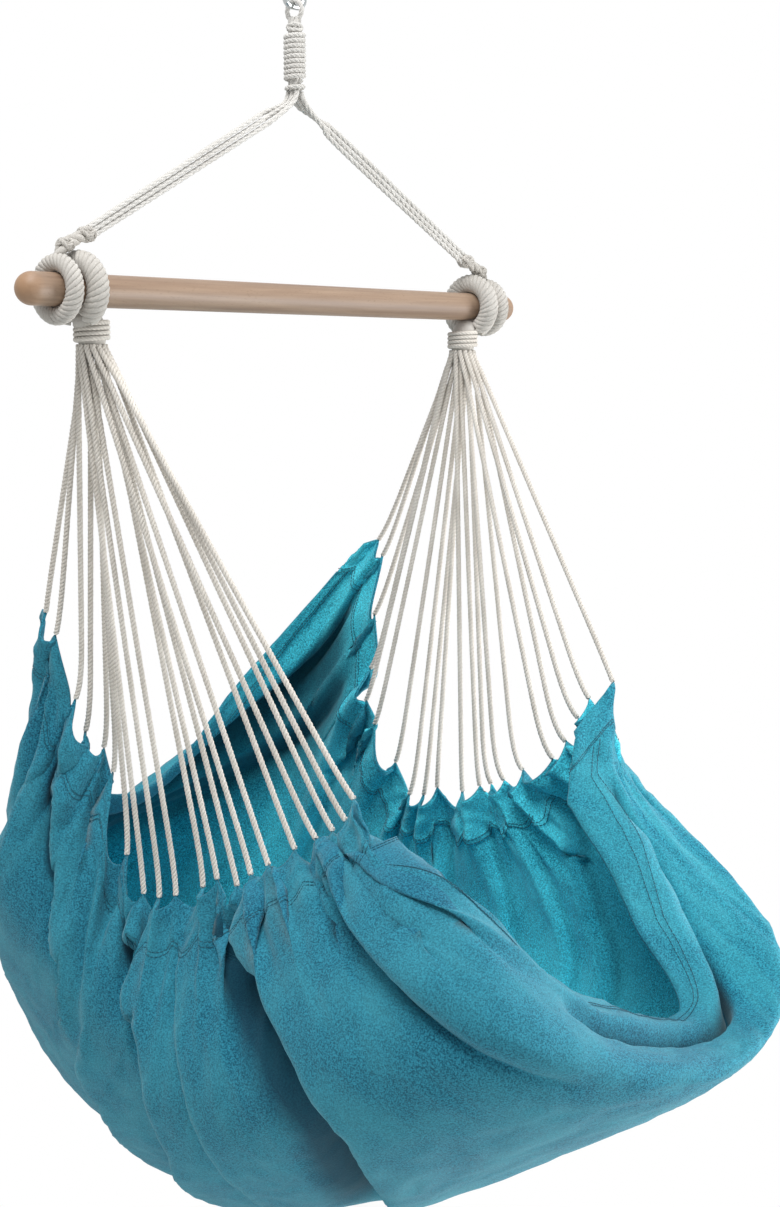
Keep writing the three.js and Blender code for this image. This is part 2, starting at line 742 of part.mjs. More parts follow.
// Seat cloth: one gathered rectangle, thicker along both side hems.
function seatCloth(rows) {
  const positions = [];
  const indices = [];
  const columns = acrossCells + 1;
  const sheetSize = rows.length * columns;
  const normals = clothNormals(rows);
  const faces = [1, -1];
  faces.forEach((face) => {
    rows.forEach((row, r) => {
      row.forEach((point, c) => {
        const fromEdge = Math.min(c, acrossCells - c);
        const thickness = fromEdge === 0 ? casingThickness : clothThickness;
        const placed = point.clone().addScaledVector(normals[r][c], (face * thickness) / 2);
        positions.push(placed.x, placed.y, placed.z);
      });
    });
  });
  const upper = (r, c) => r * columns + c;
  const lower = (r, c) => sheetSize + r * columns + c;
  for (let r = 0; r < rows.length - 1; r++) {
    for (let c = 0; c < acrossCells; c++) {
      indices.push(upper(r, c), upper(r, c + 1), upper(r + 1, c));
      indices.push(upper(r, c + 1), upper(r + 1, c + 1), upper(r + 1, c));
      indices.push(lower(r, c), lower(r + 1, c), lower(r, c + 1));
      indices.push(lower(r, c + 1), lower(r + 1, c), lower(r + 1, c + 1));
    }
  }
  const wall = (a, b, c, d) => indices.push(a, b, c, b, d, c);
  for (let r = 0; r < rows.length - 1; r++) {
    wall(upper(r, 0), upper(r + 1, 0), lower(r, 0), lower(r + 1, 0));
    wall(upper(r + 1, acrossCells), upper(r, acrossCells), lower(r + 1, acrossCells), lower(r, acrossCells));
  }
  const lastRow = rows.length - 1;
  for (let c = 0; c < acrossCells; c++) {
    wall(upper(0, c + 1), upper(0, c), lower(0, c + 1), lower(0, c));
    wall(upper(lastRow, c), upper(lastRow, c + 1), lower(lastRow, c), lower(lastRow, c + 1));
  }
  const geometry = new THREE.BufferGeometry();
  geometry.setAttribute("position", new THREE.Float32BufferAttribute(positions, 3));
  geometry.setIndex(indices);
  geometry.computeVertexNormals();
  addPiece("seat_cloth", geometry, materials.cotton);
}

hookBody();
hookGate();
hookPin();
hookSpring();
ropeEye();
neckWhipping();
spreaderBar();
const clothLines = clothRows();
const sides = [
  [-1, "left"],
  [1, "right"],
];
sides.forEach(([side, word]) => {
  suspensionStrands(side, word);
  hangerRing(side, word);
  fanRing(side, word);
  fanWhipping(side, word);
  fanCords(side, word, clothLines);
});
seatCloth(clothLines);

export default chair;
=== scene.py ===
import math

import bmesh
import bpy
import numpy as np
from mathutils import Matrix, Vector, noise


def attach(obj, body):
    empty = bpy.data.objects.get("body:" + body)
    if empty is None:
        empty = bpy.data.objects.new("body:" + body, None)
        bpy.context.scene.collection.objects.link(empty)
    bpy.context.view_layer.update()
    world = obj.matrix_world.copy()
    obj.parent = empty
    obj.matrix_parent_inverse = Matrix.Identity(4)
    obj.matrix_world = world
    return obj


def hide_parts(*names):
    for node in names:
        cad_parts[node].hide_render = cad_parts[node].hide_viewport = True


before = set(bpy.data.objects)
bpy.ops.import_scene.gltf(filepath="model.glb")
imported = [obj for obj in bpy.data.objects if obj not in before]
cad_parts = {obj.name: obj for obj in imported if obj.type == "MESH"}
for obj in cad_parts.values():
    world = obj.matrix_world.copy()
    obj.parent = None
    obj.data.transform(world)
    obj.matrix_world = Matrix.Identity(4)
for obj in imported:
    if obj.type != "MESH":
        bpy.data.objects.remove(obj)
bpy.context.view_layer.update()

# Camera. The chair is seen from the front left and a little above its bar, 2.6 m away.
# The lens is longer than a phone's, so the two ends of the bar look much alike.
def in_scene(name, data):
    """A new object in the scene."""
    thing = bpy.data.objects.new(name, data)
    bpy.context.scene.collection.objects.link(thing)
    return thing


camera_data = bpy.data.cameras.new("camera")
camera_data.sensor_fit = "VERTICAL"
camera_data.sensor_height = 36
camera_data.lens = 59.65
camera = in_scene("camera", camera_data)
camera.location = (-1.8891, -1.7409, -0.5264)
camera.rotation_euler = (math.radians(90 - 6.49), 0, math.radians(-50))
bpy.context.scene.camera = camera

# Fan cords. Forty cotton cords, each laid up from three strands, hang from the two necks under the bar
# and pass through the side hems of the cloth. The cloth pulls them straight, and the lines that it
# follows stand here too.
MM = 0.001
bar_drop = 430  # from the hang point down to the middle of the bar
cord_thickness = 6.5
cord_lay = 15
cord_fluff = 1.1  # how much fuller the strands' crests are drawn than the cord is thick
cord_step = 1.9
cords_a_side = 20
neck_x = 344
neck_foot = -61.3
neck_circles = ((6, 6.9), (14, 15.4))  # how many cords lie on a circle of which radius
neck_rows = (2, 2, 4, 4, 4, 2, 2)  # how many cords lie in each row across the neck, from the back
cord_ends = {
    "left": [
        (-312, 127, -381), (-310, 112, -407), (-287, 105, -488), (-271, 106, -530), (-252, 94, -552),
        (-248, 82, -582), (-264, 42, -677), (-261, 16, -722), (-262, -12, -722), (-261, -40, -715),
        (-258, -83, -698), (-262, -111, -683), (-258, -140, -687), (-264, -168, -668), (-266, -198, -652),
        (-256, -230, -630), (-249, -256, -615), (-246, -279, -603), (-248, -300, -588), (-255, -318, -560),
    ],
    "right": [
        (312, 128, -332), (308, 117, -354), (285, 113, -437), (270, 107, -513), (249, 98, -556),
        (247, 80, -588), (262, 54, -642), (260, 27, -685), (262, 2, -682), (261, -23, -668),
        (258, -70, -667), (262, -97, -656), (260, -118, -650), (260, -140, -642), (266, -167, -626),
        (250, -228, -600), (246, -251, -574), (248, -269, -541), (251, -284, -514), (258, -316, -490),
    ],
}
cloth_corners = {
    "left": ((-300, 146, -380), (-266, -332, -562)),
    "right": ((302, 148, -338), (180, -310, -546)),
}
left_side_run = [
    (-215, 235, -580), (-295, 258, -725), (-285, 160, -850), (-270, 45, -935), (-288, -95, -960),
    (-312, -246, -930), (-322, -420, -852), (-290, -545, -775), (-215, -485, -712),
]
bottom_run = [
    (0, 300, -670), (0, 520, -840), (0, 505, -1035), (0, 370, -1150), (0, 95, -1200),
    (0, -150, -1150), (0, -400, -1030), (0, -640, -872), (0, -512, -855),
]
right_side_run = [
    (230, 290, -515), (300, 360, -690), (300, 330, -855), (290, 205, -965), (275, -20, -985),
    (270, -265, -915), (280, -450, -830), (300, -550, -795), (160, -505, -852),
]
row_count = 2 * cords_a_side
cord_places = [0] + [(2 * i + 1) / row_count for i in range(cords_a_side)] + [1]
hem_slacks = {
    "left": [14, 18, 24, 16, 26, 14, 20, 34, 14, 20, 16, 30, 14, 20, 14, 22, 14, 18, 14],
    "right": [14, 20, 14, 26, 16, 14, 24, 14, 18, 28, 14, 20, 16, 26, 14, 20, 14, 18, 14],
}


def plug(tree, node, inputs):
    """Link or set a node's inputs. A node as a value stands for the first of its outputs in use."""
    for socket, value in inputs.items():
        if isinstance(value, bpy.types.Node):
            value = next(output for output in value.outputs if output.enabled)
        if isinstance(value, bpy.types.NodeSocket):
            tree.links.new(value, node.inputs[socket])
        else:
            node.inputs[socket].default_value = value


def add(tree, kind, inputs=None, **settings):
    """A node with its settings, and with its inputs linked or set."""
    node = tree.nodes.new(kind)
    for name, value in settings.items():
        setattr(node, name, value)
    plug(tree, node, inputs or {})
    return node


def linear(code):
    """An sRGB hex colour as linear red, green, blue and alpha."""
    parts = [int(code[i : i + 2], 16) / 255 for i in (1, 3, 5)]
    return [p / 12.92 if p <= 0.04045 else ((p + 0.055) / 1.055) ** 2.4 for p in parts] + [1]


def smooth_run(points, shares):
    """Points on a smooth line through a list of points, as shares of its stretches."""
    points = np.asarray(points, float)
    last = len(points) - 1
    at = np.asarray(shares, float) * last
    i = np.clip(at.astype(int), 0, last - 1)
    w = (at - i).reshape((-1,) + (1,) * (points.ndim - 1))
    ends = np.concatenate([[2 * points[0] - points[1]], points, [2 * points[-1] - points[-2]]])
    a, b, c, d = (ends[i + k] for k in range(4))
    return 0.5 * (2 * b + (c - a) * w + (2 * a - 5 * b + 4 * c - d) * w**2 + (3 * b - a - 3 * c + d) * w**3)


def hem_line(word, along):
    """The gathered edge of the cloth: straight from cord to cord in plan, and slack between them."""
    first, last = cloth_corners[word]
    points = np.array([first, *cord_ends[word], last], float)
    line = np.stack([np.interp(along, cord_places, points[:, k]) for k in range(3)], -1)
    for i in range(1, cords_a_side):
        here = (along > cord_places[i]) & (along < cord_places[i + 1])
        share = (along[here] - cord_places[i]) / (cord_places[i + 1] - cord_places[i])
        middle = (points[i, 2] + points[i + 1, 2]) / 2
        valley = min(middle - hem_slacks[word][i - 1], points[i, 2] - 5, points[i + 1, 2] - 5)
        line[here, 2] -= 4 * share * (1 - share) * (middle - valley)
    return line


def cloth_lines(along):
    """The five lines that every row of the cloth follows, at the given shares from back to front."""
    middle = [smooth_run(run, along) for run in (left_side_run, bottom_run, right_side_run)]
    return np.stack([hem_line("left", along), *middle, hem_line("right", along)])


def cord_slots(side, ends):
    """Where each cord leaves its neck: outer places for the cords that lean outward most."""
    slots = []
    for count, radius in neck_circles:
        for i in range(count):
            angle = 2 * math.pi * (i + 0.5) / count
            slots.append((side * neck_x + radius * math.sin(angle), radius * math.cos(angle), neck_foot))
    slots.sort(key=lambda slot: -slot[1])
    in_order = [None] * cords_a_side
    first = 0
    for count in neck_rows:
        places = sorted(slots[first : first + count], key=lambda slot: -side * slot[0])
        x, _, z = slots[first]
        cords = sorted(range(first, first + count), key=lambda i: side * (x - ends[i][0]) / (z - ends[i][2]))
        for cord, place in zip(cords, places):
            in_order[cord] = place
        first += count
    return in_order


def to_metres(points):
    """Points in mm from the middle of the bar, as metres from the hang point."""
    return [(x * MM, y * MM, (z - bar_drop) * MM) for x, y, z in points]


def new_tree(name, path_label, result_label, inputs):
    """An empty geometry tree, and the identifier of each of its inputs."""
    tree = bpy.data.node_groups.new(name, "GeometryNodeTree")
    tree.interface.new_socket(path_label, in_out="INPUT", socket_type="NodeSocketGeometry")
    identifiers = {}
    for label, kind in inputs.items():
        socket = tree.interface.new_socket(label, in_out="INPUT", socket_type="NodeSocket" + kind)
        identifiers[label] = socket.identifier
    tree.interface.new_socket(result_label, in_out="OUTPUT", socket_type="NodeSocketGeometry")
    return tree, identifiers


def end_tree(tree, shape, material):
    """Real geometry in its material, as the tree's result."""
    realized = add(tree, "GeometryNodeRealizeInstances", {0: shape})
    dressed = add(tree, "GeometryNodeSetMaterial", {0: realized, "Material": material})
    add(tree, "NodeGroupOutput", {0: dressed})


# The rope tree twists strands round each other along a path. The path may itself be wound first into
# a coil, which is how a serving or a whipping is laid on.
laid_rope, rope_inputs = new_tree(
    "laid rope", "Path", "Rope",
    {
        "Coil radius": "Float", "Coil pitch": "Float", "Coil step": "Float", "Strands": "Int",
        "Strand radius": "Float", "Lay radius": "Float", "Lay length": "Float", "Step": "Float",
        "Sides": "Int", "Material": "Material",
    },
)
tree = laid_rope
given = add(tree, "NodeGroupInput").outputs
flow = add(tree, "GeometryNodeMeshToCurve", {"Mesh": given["Path"]})
for step, radius, pitch in (("Coil step", "Coil radius", "Coil pitch"), ("Step", "Lay radius", "Lay length")):
    flow = add(tree, "GeometryNodeResampleCurve", {"Curve": flow, "Length": given[step]}, mode="LENGTH")
    run = add(tree, "GeometryNodeSplineParameter").outputs["Length"]
    turns = add(tree, "ShaderNodeMath", {0: run, 1: given[pitch]}, operation="DIVIDE")
    if step == "Step":
        strands = {0: flow, "Amount": given["Strands"]}
        flow = add(tree, "GeometryNodeDuplicateElements", strands, domain="SPLINE")
        share = add(tree, "ShaderNodeMath", {0: flow.outputs[1], 1: given["Strands"]}, operation="DIVIDE")
        turns = add(tree, "ShaderNodeMath", {0: turns, 1: share}, operation="ADD")
    angle = add(tree, "ShaderNodeMath", {0: turns, 1: 2 * math.pi}, operation="MULTIPLY")
    normal = add(tree, "GeometryNodeInputNormal")
    tangent = add(tree, "GeometryNodeInputTangent")
    beside = add(tree, "ShaderNodeVectorMath", {0: tangent, 1: normal}, operation="CROSS_PRODUCT")
    parts = []
    for direction, operation in ((normal, "COSINE"), (beside, "SINE")):
        wave = add(tree, "ShaderNodeMath", {0: angle}, operation=operation)
        amount = add(tree, "ShaderNodeMath", {0: wave, 1: given[radius]}, operation="MULTIPLY")
        part = add(tree, "ShaderNodeVectorMath", {0: direction, "Scale": amount}, operation="SCALE")
        parts.append(part)
    offset = add(tree, "ShaderNodeVectorMath", {0: parts[0], 1: parts[1]}, operation="ADD")
    flow = add(tree, "GeometryNodeSetPosition", {"Geometry": flow, "Offset": offset})
strand_size = {"Resolution": given["Sides"], "Radius": given["Strand radius"]}
strand = add(tree, "GeometryNodeCurvePrimitiveCircle", strand_size)
swept = add(tree, "GeometryNodeCurveToMesh", {"Curve": flow, "Profile Curve": strand, "Fill Caps": True})
rounded = add(tree, "GeometryNodeSetShadeSmooth", {0: swept})
end_tree(tree, rounded, given["Material"])


def run_tree(name, tree, identifiers, runs, values):
    """The plain mesh that a geometry tree makes of paths, each a list of points in mm."""
    mesh = bpy.data.meshes.new(name)
    points, edges = [], []
    for run in runs:
        edges += [(i, i + 1) for i in range(len(points), len(points) + len(run) - 1)]
        points += to_metres(run)
    mesh.from_pydata(points, edges, [])
    holder = in_scene(name, mesh)
    modifier = holder.modifiers.new("tree", "NODES")
    modifier.node_group = tree
    for label, value in values.items():
        modifier[identifiers[label]] = value
    result = bpy.data.meshes.new_from_object(holder.evaluated_get(bpy.context.evaluated_depsgraph_get()))
    bpy.data.objects.remove(holder)
    bpy.data.meshes.remove(mesh)
    result.name = name
    return result


def rope_mesh(name, runs, thickness, lay, step, material, coil=(0, 1, 4), strands=3, sides=6, plump=0.58):
    """A laid rope of that thickness along each path in mm. coil is the winding's radius, pitch and step.

    plump is a strand's thickness as a share of the rope's, as the strands flatten against each other.
    """
    strand = plump * thickness / 2
    values = {
        "Coil radius": coil[0] * MM, "Coil pitch": coil[1] * MM, "Coil step": coil[2] * MM,
        "Strands": strands, "Strand radius": strand * MM, "Lay radius": (1.02 * thickness / 2 - strand) * MM,
        "Lay length": lay * MM, "Step": step * MM, "Sides": sides, "Material": material,
    }
    return run_tree(name, laid_rope, rope_inputs, runs, values)


def new_material(name):
    """A new material, its node tree and its shader."""
    material = bpy.data.materials.new(name)
    material.use_nodes = True
    return material, material.node_tree, material.node_tree.nodes["Principled BSDF"]


# Undyed cotton, spun and laid hard: warm off-white, dull, with a fine hairy surface. The real fibres
# are far under a millimetre, so the mottling is drawn at 1.5 mm to show.
rope_cotton, tree, shader = new_material("undyed laid cotton")
place = add(tree, "ShaderNodeTexCoord").outputs["Object"]
mottle = add(tree, "ShaderNodeTexNoise", {"Vector": place, "Scale": 1 / (1.5 * MM), "Detail": 2.0})
drift = add(tree, "ShaderNodeTexNoise", {"Vector": place, "Scale": 1 / (60 * MM), "Detail": 1.0})
mottled = add(tree, "ShaderNodeMath", {0: mottle, 1: drift}, operation="ADD")
tint = add(tree, "ShaderNodeMapRange", {"Value": mottled, "From Min": 0.7, "From Max": 1.3})
undyed = {"Factor": tint, 6: linear("#cdc7be"), 7: linear("#e6e1d9")}
colour = add(tree, "ShaderNodeMix", undyed, data_type="RGBA")
fuzz = add(tree, "ShaderNodeBump", {"Height": mottle, "Strength": 0.12, "Distance": 0.2 * MM})
# Painted shade: the colour darkens towards #8d877e in the grooves of the lay, as far as they are closed in.
grooves = add(tree, "ShaderNodeAmbientOcclusion", {"Distance": 2.5 * MM}, samples=8, only_local=True)
openness = {"Value": grooves.outputs["AO"], "From Min": 0.4, "From Max": 0.92, "To Min": 0.25}
groove_unshaded_share = add(tree, "ShaderNodeMapRange", openness)
laid = add(tree, "ShaderNodeMix", {"Factor": groove_unshaded_share, 6: linear("#8d877e"), 7: colour}, data_type="RGBA")
finish = {"Base Color": laid, "Normal": fuzz, "Roughness": 0.88, "IOR": 1.5}
plug(tree, shader, finish | {"Specular IOR Level": 0.25, "Sheen Weight": 0.12})


def put(name, mesh, body, slot_name, *nodes):
    """A finished piece at the origin that rides on a body and stands for its CAD nodes."""
    piece = in_scene(name, mesh)
    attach(piece, body)
    if nodes:
        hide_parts(*nodes)
    return piece


def hump(distance, width):
    """1 in the middle of a soft ridge, less with the distance from it."""
    return np.exp(-((distance / width) ** 2))


# The solid cloth's own rows, from which each cord takes the direction of the cloth at its lower end.
source_columns = 14
fold_places = {"left": (0.2, 0.36, 0.6, 0.82), "right": (0.16, 0.38, 0.56, 0.74)}
fold_depths = (26, 30, 34, 22)
fold_width = 0.035
fold_middle = 0.2  # share across the cloth at which the folds are deepest
row_shares = np.linspace(0, 1, row_count + 1)
column_shares = np.arange(source_columns) / (source_columns - 1)
source_rows = np.transpose(smooth_run(cloth_lines(row_shares), column_shares), (1, 0, 2))
for column, share in enumerate(column_shares):
    inward = min(share, 1 - share)
    shape = inward / fold_middle * math.exp(1 - inward / fold_middle) * (1 - 2 * inward)
    places = fold_places["left" if share < 0.5 else "right"]
    depths = sum(deep * hump(row_shares - at, fold_width) for at, deep in zip(places, fold_depths))
    source_rows[:, column, 0] -= np.sign(source_rows[:, column, 0]) * depths * shape

cord_seat = 0.8  # from the edge of the cloth to a cord's lower end
bend_length = 60
bend_corner = 3  # how far above the hem a cord's bend has its corner, in cord thicknesses
bend_points = 8
neck_turn = 0.08  # over which share of its length a cord turns out of the neck
for side, word in ((-1, "left"), (1, "right")):
    hem = 0 if side < 0 else source_columns - 1
    for i, slot in enumerate(cord_slots(side, cord_ends[word])):
        row = source_rows[2 * i + 1]
        slot = np.array(slot)
        upward = row[hem] - row[hem - side]
        upward = upward / np.linalg.norm(upward)
        bottom = row[hem] + cord_seat * upward
        straight_top = slot + (bottom - slot) * neck_turn
        corner = row[hem] + bend_corner * cord_thickness * upward
        bend = corner + bend_length * (straight_top - corner) / np.linalg.norm(straight_top - corner)
        path = [slot, slot - (0, 0, cord_thickness / 2), straight_top, (straight_top + bend) / 2]
        for t in np.linspace(0, 1, bend_points):
            path.append((1 - t) ** 2 * bend + 2 * t * (1 - t) * corner + t**2 * bottom)
        name = f"{word}_{i + 1:02d}"
        fullness = cord_thickness * cord_fluff
        mesh = rope_mesh("laid_cord_" + name, [path], fullness, cord_lay, cord_step, rope_cotton, plump=0.54)
        cord = put("laid_cord_" + name, mesh, "seat", "rope", "fan_cord_" + name)


# Fan rings and necks. A rope ring turns on the bar at the top of each fan. It is served all round with
# cord, and its two parts and the fan's cords are gripped together by close turns of cord below the bar.
def body_mesh(name, points, radii, sides, reference, material):
    """A round closed body along points, in mm from the middle of the bar."""
    points = [Vector(p) for p in points]
    verts, faces = [], []
    for i, (point, radius) in enumerate(zip(points, radii)):
        ahead = (points[min(i + 1, len(points) - 1)] - points[max(i - 1, 0)]).normalized()
        out = (Vector(reference) - ahead * ahead.dot(Vector(reference))).normalized()
        beside = ahead.cross(out)
        for s in range(sides):
            angle = 2 * math.pi * s / sides
            verts.append(point + radius * (out * math.cos(angle) + beside * math.sin(angle)))
    for i in range(len(points) - 1):
        for s in range(sides):
            a, b = i * sides + s, i * sides + (s + 1) % sides
            faces.append((a, b, b + sides, a + sides))
    faces.append(tuple(range(sides))[::-1])
    faces.append(tuple(range(len(verts) - sides, len(verts))))
    mesh = bpy.data.meshes.new(name)
    mesh.from_pydata(to_metres(verts), [], faces)
    mesh.materials.append(material)
    mesh.shade_smooth()
    return mesh


def joined(name, meshes):
    """One mesh of several, all in the material of the first."""
    whole = bmesh.new()
    for mesh in meshes:
        whole.from_mesh(mesh)
    result = bpy.data.meshes.new(name)
    result.materials.append(meshes[0].materials[0])
    whole.to_mesh(result)
    whole.free()
    for mesh in meshes:
        bpy.data.meshes.remove(mesh)
    result.shade_smooth()
    return result


# The serving on the rings is handled and rubs on the bar, so it is greyer than the cords. The upper
# ropes are combed smoother and are nearly white, without hairs and without painted shade in their grooves.
for_rings = ("undyed laid cotton, handled", "#b1ada6", "#cbc7c1", 0.12, 0.25)
for_upper_ropes = ("combed laid cotton", "#cbc8c3", "#d3d1cd", 0.0, 1.0)
worn_cotton, bright_cotton = rope_cotton.copy(), rope_cotton.copy()
for other, (name, low, high, hairs, least_unshaded) in ((worn_cotton, for_rings), (bright_cotton, for_upper_ropes)):
    other.name = name
    nodes = other.node_tree.nodes
    plug(other.node_tree, nodes[colour.name], {6: linear(low), 7: linear(high)})
    plug(other.node_tree, nodes[fuzz.name], {"Strength": hairs})
    plug(other.node_tree, nodes[groove_unshaded_share.name], {"To Min": least_unshaded})


def bar_circle(x, radius, first, last):
    """Points round the bar in degrees from straight down."""
    steps = 110
    angles = [math.radians(first + (last - first) * i / steps) for i in range(steps + 1)]
    return [(x, radius * math.sin(a), -radius * math.cos(a)) for a in angles]


def served_ring(circle, thickness, lay, core_radius):
    """A rope ring, and the six cords that it is served with all round."""
    serving = rope_mesh("serving", [circle], thickness, lay, 3, worn_cotton, strands=6, sides=10, plump=0.34)
    core = body_mesh("core", circle, [core_radius] * len(circle), 12, (1, 0, 0), worn_cotton)
    return [serving, core]


def winding_axis(x, top, length):
    """Points straight down from top, for a cord to be wound round."""
    apart = 0.1
    return [(x, 0, top - apart * i) for i in range(round(length / apart) + 1)]


fan_ring_x = 362
fan_ring_radius = 32.5
fan_ring_gap = 28  # in degrees, from straight down to where the ring runs into the neck
throat_run = [(358, -22), (356, -27), (350, -34), (neck_x, -42), (neck_x, -56), (neck_x, -61)]
throat_radii = [10, 15, 17, 16, 16, 15]
seizing_top = -35
seizing_length = 21.5
for side, word in ((-1, "left"), (1, "right")):
    circle = bar_circle(side * fan_ring_x, fan_ring_radius, fan_ring_gap, 360 - fan_ring_gap)
    ring = served_ring(circle, thickness=26, lay=36, core_radius=8.6)
    neck = [(side * x, 0, z) for x, z in throat_run]
    throat = body_mesh("throat", neck, throat_radii, 28, (1, 0, 0), worn_cotton)
    whole = joined("served_ring_" + word, ring + [throat])
    put("served_ring_" + word, whole, "seat", "rope", "fan_ring_" + word)
    axis = winding_axis(side * neck_x, seizing_top, seizing_length)
    seizing = rope_mesh("neck_seizing_" + word, [axis], 6.4, 14, 2.2, rope_cotton, coil=(18.4, 5.6, 0.1))
    put("neck_seizing_" + word, seizing, "seat", "rope", "fan_whipping_" + word)

# Suspension. Three ropes a side run from the neck down to a knot above each end of the bar, and a
# served ring below each knot carries the bar. The ropes are as thick as the cords, with a longer lay.
rope_thickness = 6.5
rope_lay = 34
rope_spacing = 7.4
rope_start = (4.6, 257.7)  # across and up from the middle of the bar, as in the next three
knot_place = (350.0, 63)
foot_place = (381.0, 50)
ring_top_place = (392.0, 34)
hanger_ring_x = 394
hanger_ring_radius = 30
rope_stop = 7  # how far before the middle of the knot a rope ends
turn_share = 0.25  # over which share of the way the three ropes turn from side by side to stacked


def tied_lump(middle, radius, thickness):
    """A round knot drawn as one rope that goes three times round and four times over and under."""
    rounds, waves, steps = 3, 4, 240
    highest = 0.78  # in radians, how far above and below its middle the rope goes
    squeeze = 0.9  # how far the rope moves in and out where it crosses itself
    turn = []
    for i in range(steps + 1):
        t = 2 * math.pi * i / steps
        rise = highest * math.sin(waves * t)
        spread = (radius - thickness / 2 - 0.6) + squeeze * math.cos(2 * waves * t)
        level = spread * math.cos(rise)
        height = 1.05 * spread * math.sin(rise)
        turn.append(middle + (level * math.cos(rounds * t), level * math.sin(rounds * t), height))
    wrap = rope_mesh("wrap", [turn], thickness, 14, 1.6, rope_cotton)
    core = (radius - thickness / 2) * 1.02
    heights = [core * h for h in (-0.98, -0.85, -0.6, -0.3, 0, 0.3, 0.6, 0.85, 0.98)]
    radii = [math.sqrt(core**2 - h**2) for h in heights]
    heart = body_mesh("heart", [middle + (0, 0, h) for h in heights], radii, 16, (1, 0, 0), rope_cotton)
    return [wrap, heart]


for side, word in ((-1, "left"), (1, "right")):
    start, knot, foot, ring_top = (
        np.array([side * x, 0, z]) for x, z in (rope_start, knot_place, foot_place, ring_top_place)
    )
    bend = start + (side * rope_thickness / 2, 0, -2 * rope_thickness)
    slope = (knot - bend) / np.linalg.norm(knot - bend)
    above = np.array([-side * slope[2], 0, side * slope[0]])
    end = knot - slope * rope_stop
    turn_end = bend + (end - bend) * turn_share
    for i in (-1, 0, 1):
        beside = np.array([0, i * rope_spacing, 0])
        stacked = above * i * rope_spacing
        low = start - (0, 0, rope_thickness / 2)
        between = (bend + turn_end) / 2 + (beside + stacked) * 0.72
        points = [
            start + beside, low + beside, bend + slope * rope_thickness + beside,
            between, turn_end + stacked, end + stacked * 0.8,
        ]
        path = smooth_run(points, np.linspace(0, 1, 60))
        name = f"suspension_rope_{word}_{i + 2}"
        mesh = rope_mesh(name, [path], rope_thickness, rope_lay, 2.4, bright_cotton, sides=8)
        put(name, mesh, "suspension", "rope", f"suspension_strand_{word}_{i + 2}")
    lumps = tied_lump(knot, 12.6, 6.2) + tied_lump(foot, 11.6, 6.2)
    run = smooth_run([ring_top, foot, knot], np.linspace(0, 1, 24))
    stem = rope_mesh("stem", [run], 15, 40, 2.4, rope_cotton, sides=8)
    circle = bar_circle(side * hanger_ring_x, hanger_ring_radius, 0, 360)
    ring = served_ring(circle, thickness=21, lay=34, core_radius=6.8)
    whole = joined("hanger_loop_" + word, ring + [stem] + lumps)
    put("hanger_loop_" + word, whole, "suspension", "rope", "hanger_ring_" + word)

# Rope eye and neck. The ropes are doubled over the hook's wire into an eye, crossed below it and then
# whipped with nine turns of one cord, and a last lashing spreads the six ropes.
eye_middle = 357.3
eye_radius = 12.25
eye_turn = np.linspace(0, 2 * math.pi, 61)
eye = [(0, eye_radius * math.sin(a), eye_middle - eye_radius * math.cos(a)) for a in eye_turn]
eye_rope = rope_mesh("eye", [eye], rope_thickness, 18, 2, bright_cotton)
neck_top = 349
neck_bottom = 259
inner = [(0, 0, z) for z in np.linspace(neck_top, neck_bottom, 40)]
bundle = rope_mesh("bundle", [inner], 16.6, 160, 3, bright_cotton, strands=7, plump=0.33)
core_run = [(0, 0, z) for z in (348, 344, 300, 262, 259)]
core = body_mesh("core", core_run, [4, 7, 7, 7, 5], 16, (1, 0, 0), bright_cotton)
crossing_radius = 8.4
crossing_middle = 337.5
crossing = ([], [])
for a in np.linspace(0, 2.1 * math.pi, 50):
    for run, lean in zip(crossing, (-3.8, 3.8)):
        z = crossing_middle + lean * math.sin(a + 0.7) - 0.35 * a
        run.append((crossing_radius * math.cos(a), crossing_radius * math.sin(a), z))
crossed = rope_mesh("crossed", crossing, 5.6, 20, 2, bright_cotton)
lashing_axis = winding_axis(0, top=265, length=5.1)
lashing = rope_mesh("lashing", [lashing_axis], 5.6, 20, 2.2, bright_cotton, coil=(10.6, 5.2, 0.05))
tail = [(9, -3, 264), (12, -4, 263.5), (12.4, -1, 262.5), (11, 2, 262.5), (10.4, 4.5, 263.5), (8, 6, 264.5)]
tail_rope = rope_mesh("tail", [smooth_run(tail, np.linspace(0, 1, 24))], 4.6, 14, 1.6, bright_cotton)
whole = joined("rope_eye_and_neck", [eye_rope, bundle, core, crossed, lashing, tail_rope])
put("rope_eye_and_neck", whole, "hanger", "rope", "rope_eye")
whipping_axis = winding_axis(0, top=328.2, length=55.9)
whipped = rope_mesh("whipping_turns", [whipping_axis], 6.8, 14, 2.2, bright_cotton, coil=(11.2, 6.2, 0.1))
put("whipping_turns", whipped, "hanger", "rope", "neck_whipping")

# Spreader bar. One turned dowel of beech with rounded ends, sanded and oiled. The ends show darker,
# because the end grain takes up more oil.
bar_radius = 19
bar_end = 450
end_steps = 12
tip_share = 0.02  # of the radius, for the flat that the dowel's rounded end keeps
left_end = []
for i in range(end_steps + 1):
    angle = math.pi / 2 * i / end_steps
    radius = bar_radius * max(math.sin(angle), tip_share)
    left_end.append((-bar_end + bar_radius * (1 - math.cos(angle)), radius))
middle = [(x, bar_radius) for x in np.linspace(-400, 400, 17)]
right_end = [(-x, radius) for x, radius in reversed(left_end)]
bar_run = left_end + middle + right_end
beech, tree, shader = new_material("oiled beech")
place = add(tree, "ShaderNodeTexCoord").outputs["Object"]
